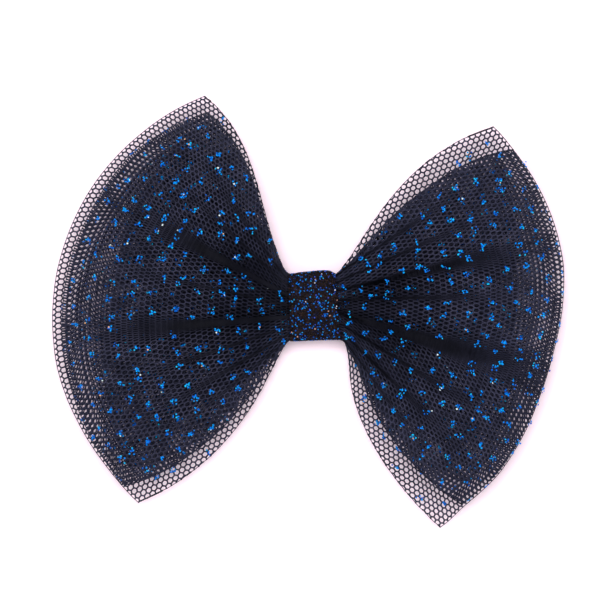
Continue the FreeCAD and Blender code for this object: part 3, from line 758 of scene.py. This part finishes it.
MID_GAP = 0.3                            # the two halves of a strip stop this far from its middle
draw = np.random.default_rng(31)
back_halves = [(LEFT_WING, strip_lengths(LEFT_WING, BACK_LAYER)[2], MID_GAP),
               (RIGHT_WING, MID_GAP, strip_lengths(RIGHT_WING, BACK_LAYER)[2])]
strips = [("back_sheet", BACK_LAYER, back_halves, "back_tulle_sheet")]
for node, layer, title in (("outer_tulle_loop", OUTER_LAYER, "outer_loop"),
                           ("inner_tulle_loop", INNER_LAYER, "inner_loop")):
    for wing, where in ((LEFT_WING, "left"), (RIGHT_WING, "right")):
        whole = strip_lengths(wing, layer)[2]
        strips.append((f"{title}_{where}", layer, [(wing, MID_GAP, whole - MID_GAP)], node))
for name, layer, halves, node in strips:
    places, inside = net_knots(halves, layer)
    net = knit_net(name, places, inside)
    net.data.materials.append(net_dye_and_painted_shade)
    flakes = glue_dots(name + "_glitter", halves, layer, draw)
    flakes.data.materials.append(foil_finish)
    for piece in (net, flakes):
        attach(piece, "bow")
    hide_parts(node)

# ---- Gathering thread -----------------------------------------------------------------------
# Two-ply polyester sewing thread, drawn tight round the gathered middle in three laps before the
# band goes on. It is what holds the three strips together.
LAPS, LAP_CORNER, LAP_POINTS = 3, 0.9, 40
STRAND, STRAND_TWIST = 0.1, 1.3          # radius of each of the two strands, length of one twist
TWIST_POINTS = 9
wound_low, wound_high = (np.array(c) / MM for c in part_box("gather_thread"))
half_deep, half_tall = ((wound_high - wound_low)[1:] / 2 - 2 * STRAND).tolist()
turn = np.radians((np.arange(LAPS * LAP_POINTS + 1) + 0.5) * 360 / LAP_POINTS)
lap_y = np.sign(np.cos(turn)) * (half_deep - LAP_CORNER) + LAP_CORNER * np.cos(turn)
lap_z = np.sign(np.sin(turn)) * (half_tall - LAP_CORNER) + LAP_CORNER * np.sin(turn)
along = np.concatenate([[0], np.cumsum(np.hypot(np.diff(lap_y), np.diff(lap_z)))])
walk = np.arange(0, along[-1], STRAND_TWIST / TWIST_POINTS)
outward, lap_y, lap_z = (np.interp(walk, along, size) for size in (turn, lap_y, lap_z))
lap_x = mix(wound_low[0] + 2 * STRAND, wound_high[0] - 2 * STRAND, walk / along[-1])
lap_y += (wound_low + wound_high)[1] / 2
yarn = bpy.data.curves.new("gathering_thread", "CURVE")
yarn.dimensions = "3D"
yarn.bevel_depth = STRAND * MM
yarn.bevel_resolution = 1
yarn.use_fill_caps = True
yarn.resolution_u = 1
for start in (0, math.pi):
    twist = 2 * math.pi * walk / STRAND_TWIST + start
    out = STRAND * np.cos(twist)
    places = np.stack([lap_x + STRAND * np.sin(twist), lap_y + out * np.cos(outward),
                       lap_z + out * np.sin(outward), np.full(len(walk), 1 / MM)], axis=-1) * MM
    strand = yarn.splines.new("NURBS")
    strand.points.add(len(places) - 1)
    strand.points.foreach_set("co", places.ravel())
    strand.order_u = 3
    strand.use_endpoint_u = True
thread = bpy.data.objects.new("gathering_thread", yarn)
bpy.context.collection.objects.link(thread)
thread.select_set(True)
bpy.context.view_layer.objects.active = thread
bpy.ops.object.convert(target="MESH")
bpy.ops.object.shade_smooth()
polyester, skin, _ = mottled("navy_polyester", 9000, 3, (0.007, 0.008, 0.018),
                             (0.024, 0.028, 0.060), (0.4, 0.00002))
skin.inputs["Roughness"].default_value = 0.42
thread.data.materials.append(polyester)
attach(thread, "bow")
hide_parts("gather_thread")
thread.select_set(False)

# ---- Hot glue -------------------------------------------------------------------------------
# A pad of milky hot-melt glue, pressed flat while soft between the arm's lining and the gathered
# strips. It bonds the bow to the clip inside the band.
glue_low, glue_high = (Vector(c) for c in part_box("glue_pad"))
bpy.ops.mesh.primitive_cube_add(size=1, location=(glue_low + glue_high) / 2, scale=glue_high - glue_low)
glue = bpy.context.object
glue.name = "hot_glue_pad"
bpy.ops.object.transform_apply(location=True, rotation=False, scale=True)
bpy.ops.object.mode_set(mode="EDIT")
bpy.ops.mesh.bevel(offset=0.4 * MM, segments=3)
bpy.ops.mesh.subdivide(number_cuts=5)
bpy.ops.object.mode_set(mode="OBJECT")
lumps = bpy.data.textures.new("glue_lumps", "CLOUDS")
lumps.noise_scale = 1.6 * MM
uneven = glue.modifiers.new("lumps", "DISPLACE")
uneven.texture = lumps
uneven.texture_coords = "LOCAL"
uneven.strength = 0.5 * MM
uneven.mid_level = 0.75
bpy.ops.object.modifier_apply(modifier=uneven.name)
bpy.ops.object.shade_smooth()
melt, skin, cloudy = mottled("hot_melt_glue", 700, 4, (0.48, 0.44, 0.34), (0.72, 0.70, 0.62),
                             (0.3, 0.0001))
skin.inputs["IOR"].default_value = 1.49
skin.inputs["Transmission Weight"].default_value = 0.35
nodes, links = melt.node_tree.nodes, melt.node_tree.links
dull = nodes.new("ShaderNodeMapRange")
dull.inputs["To Min"].default_value = 0.2
dull.inputs["To Max"].default_value = 0.5
links.new(cloudy.outputs["Fac"], dull.inputs["Value"])
links.new(dull.outputs["Result"], skin.inputs["Roughness"])
glue.data.materials.append(melt)
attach(glue, "bow")
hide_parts("glue_pad")
glue.select_set(False)

# ---- Band -----------------------------------------------------------------------------------
# A short strip of fabric faced with fine glitter, wrapped once round the thread and the clip's
# lined arm, narrower behind, and glued to itself. Its top edge rides up to the right.
FABRIC = 0.4
THREAD_LINE, ARM_LINE, ARM_HALF = -2.6, -1.2, 5.15         # where it narrows, and to what
BAND_EDGES = (((-7.1, 8.6), (-6.6, -8.6)), ((4.5, 8.6), (6.3, -8.6)))     # (x, z) top to bottom
TOP_LIFT = ((-7.1, -4.0, 1.7, 3.4, 4.5), (-0.6, -0.1, 0.4, 0.25, -0.45))  # x, and how far up there
LOW_LIFT = ((-6.6, 0, 6.3), (0.2, 0.45, 0.6))
RIGHT_PULL = ((-8.6, -7, -4.5, -1.4, 8.6), (0, -0.25, -0.55, -0.48, 0))   # z, and how far right there
FRONT_FACE = -9                          # the band's front lies before this
FINE_FLAKES = 3400
GLINT_X, GLINT_Z, GLINT_R = 2.3, -0.5, 2.6                                # painted highlight: the spot round which most white and peach flakes are set
band_low, band_high = (np.array(c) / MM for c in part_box("centre_band"))
inset = np.array((-2, FABRIC / 2, FABRIC / 2))     # longer than the band, which is then cut to its edges
sleeve_low, sleeve_high = band_low + inset, band_high - inset
bpy.ops.mesh.primitive_cube_add(size=1, location=(sleeve_low + sleeve_high) / 2 * MM,
                                scale=(sleeve_high - sleeve_low) * MM)
band = bpy.context.object
band.name = "glitter_band"
bpy.ops.object.transform_apply(location=True, rotation=False, scale=True)


def pick_faces(piece, wanted):
    """Leave a piece in edit mode with only the wanted faces selected."""
    bpy.ops.mesh.select_all(action="DESELECT")
    bpy.ops.object.mode_set(mode="OBJECT")
    for face in piece.data.polygons:
        face.select = wanted(face)
    bpy.ops.object.mode_set(mode="EDIT")


bpy.ops.object.mode_set(mode="EDIT")
bpy.ops.mesh.select_mode(type="FACE")
pick_faces(band, lambda face: abs(face.normal.x) > 0.9)
bpy.ops.mesh.delete(type="FACE")
for y in (THREAD_LINE, ARM_LINE):
    bpy.ops.mesh.select_all(action="SELECT")
    bpy.ops.mesh.bisect(plane_co=(0, y * MM, 0), plane_no=(0, 1, 0))
pick_faces(band, lambda face: face.center.y > ARM_LINE * MM)
bpy.ops.transform.resize(value=(1, 1, ARM_HALF / sleeve_high[2]), center_override=(0, 0, 0))
for (top_x, top_z), (low_x, low_z) in BAND_EDGES:
    side = 1 if top_x > 0 else -1
    bpy.ops.mesh.select_all(action="SELECT")
    lean = Vector((side * (top_z - low_z), 0, side * (low_x - top_x))).normalized()
    bpy.ops.mesh.bisect(plane_co=(top_x * MM, 0, top_z * MM), plane_no=lean, clear_outer=True)
bpy.ops.mesh.select_mode(type="EDGE")
bpy.ops.mesh.select_all(action="DESELECT")
bpy.ops.object.mode_set(mode="OBJECT")
for edge in band.data.edges:
    a, b = (band.data.vertices[k].co for k in edge.vertices)
    lengthwise = abs(a.x - b.x) > 5 * MM
    edge.select = bool(lengthwise and (a.y < (band_low[1] + 1) * MM or a.y > (band_high[1] - 1) * MM))
bpy.ops.object.mode_set(mode="EDIT")
bpy.ops.mesh.bevel(offset=0.9 * MM, segments=3)
bpy.ops.mesh.select_all(action="SELECT")
bpy.ops.mesh.subdivide(number_cuts=3)
bpy.ops.mesh.subdivide(number_cuts=1)
bpy.ops.object.mode_set(mode="OBJECT")
for corner in band.data.vertices:
    x, y, z = corner.co / MM
    in_front = ease((ARM_LINE - y) / 2)
    if z > 0:
        lift = np.interp(x, *TOP_LIFT) * ease((z - 3) / 5)
    else:
        lift = np.interp(x, *LOW_LIFT) * ease((-z - 3) / 5)
    pull = np.interp(z, *RIGHT_PULL) * ease((x - 2) / 3.5)
    bulge = 0.16 * max(1 - (x / 7) ** 2, 0) * max(1 - (z / 9) ** 2, 0) + 0.05 * math.sin(x * 0.9 + z * 0.5)
    corner.co += Vector((pull, -bulge * (y < FRONT_FACE), lift)) * MM * float(in_front)
bpy.ops.object.shade_smooth_by_angle(angle=math.radians(45))

band.data.calc_loop_triangles()
corners = np.array([corner.co for corner in band.data.vertices]) / MM
facets = corners[[facet.vertices[:] for facet in band.data.loop_triangles]]
leans = np.cross(facets[:, 1] - facets[:, 0], facets[:, 2] - facets[:, 0])
areas = np.linalg.norm(leans, axis=1)
picked = draw.choice(len(facets), FINE_FLAKES, p=areas / areas.sum())
u, v = draw.random((2, len(picked), 1))
u, v = np.where(u + v > 1, 1 - u, u), np.where(u + v > 1, 1 - v, v)
facets, leans = facets[picked], leans[picked] / areas[picked, None]
places = facets[:, 0] + u * (facets[:, 1] - facets[:, 0]) + v * (facets[:, 2] - facets[:, 0])
places += leans * (FABRIC / 2 + 0.04)
FINE_FOILS = np.array([(0.006, 0.004, 0.005), (0.030, 0.018, 0.017), (0.010, 0.012, 0.046),
                       (0.0, 0.11, 0.68), (0.0, 0.27, 1.0), (0.01, 0.45, 1.0), (0.06, 0.12, 0.75),
                       (0.75, 0.40, 0.30), (0.85, 0.85, 1.0)])
FINE_SHARES = (0.46, 0.19, 0.17, 0.06, 0.085, 0.020, 0.015)         # of all but the last two foils
shade = draw.choice(7, len(places), p=FINE_SHARES)
# White and peach foils are a real part of the glitter at a low share all over. The extra ones set round one
# spot are a painted highlight.
painted_highlight = np.exp(-((places[:, 0] - GLINT_X) / GLINT_R) ** 2 - ((places[:, 2] - GLINT_Z) / GLINT_R) ** 2)
shade = np.where(draw.random(len(places)) < 0.006 + 0.05 * painted_highlight, draw.integers(7, 9, len(places)), shade)
radii = draw.uniform(0.09, 0.15, len(places)) + 0.07 * (shade > 2)
band_flakes = foil_flakes("glitter_band_flakes", places, leans, radii, FINE_FOILS[shade], draw)
fine_finish = foil_finish.copy()
fine_finish.name = "fine_glitter_foil"
fine_finish.node_tree.nodes["Principled BSDF"].inputs["Specular IOR Level"].default_value = 0.05
band_flakes.data.materials.append(fine_finish)

bpy.context.view_layer.objects.active = band
thickness = band.modifiers.new("fabric", "SOLIDIFY")
thickness.thickness = FABRIC * MM
thickness.offset = 0
bpy.ops.object.modifier_apply(modifier=thickness.name)
glittered = bpy.data.materials.new("glitter_fabric")
glittered.use_nodes = True
nodes, links = glittered.node_tree.nodes, glittered.node_tree.links
skin = nodes["Principled BSDF"]
skin.inputs["Specular IOR Level"].default_value = 0.04
place = nodes.new("ShaderNodeTexCoord")
specks = nodes.new("ShaderNodeTexVoronoi")
specks.inputs["Scale"].default_value = 4300
links.new(place.outputs["Object"], specks.inputs["Vector"])
kinds = nodes.new("ShaderNodeSeparateColor")
links.new(specks.outputs["Color"], kinds.inputs["Color"])
dye = nodes.new("ShaderNodeValToRGB")
dye.color_ramp.interpolation = "CONSTANT"
dye.color_ramp.elements[0].color = (0.003, 0.002, 0.002, 1)
dye.color_ramp.elements[1].position = 0.42
dye.color_ramp.elements[1].color = (0.012, 0.007, 0.006, 1)
for position, tone in ((0.74, (0.005, 0.006, 0.020)), (0.89, (0.032, 0.018, 0.016)),
                       (0.98, (0.0, 0.07, 0.35))):
    dye.color_ramp.elements.new(position).color = (*tone, 1)
links.new(kinds.outputs["Red"], dye.inputs["Fac"])
links.new(dye.outputs["Color"], skin.inputs["Base Color"])
dull = nodes.new("ShaderNodeMapRange")
dull.inputs["To Min"].default_value = 0.55
dull.inputs["To Max"].default_value = 0.95
links.new(kinds.outputs["Green"], dull.inputs["Value"])
links.new(dull.outputs["Result"], skin.inputs["Roughness"])
grit = nodes.new("ShaderNodeBump")
grit.inputs["Strength"].default_value = 0.6
grit.inputs["Distance"].default_value = 0.00005
links.new(specks.outputs["Distance"], grit.inputs["Height"])
links.new(grit.outputs["Normal"], skin.inputs["Normal"])
band.data.materials.append(glittered)
for piece in (band, band_flakes):
    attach(piece, "bow")
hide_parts("centre_band")
band.select_set(False)
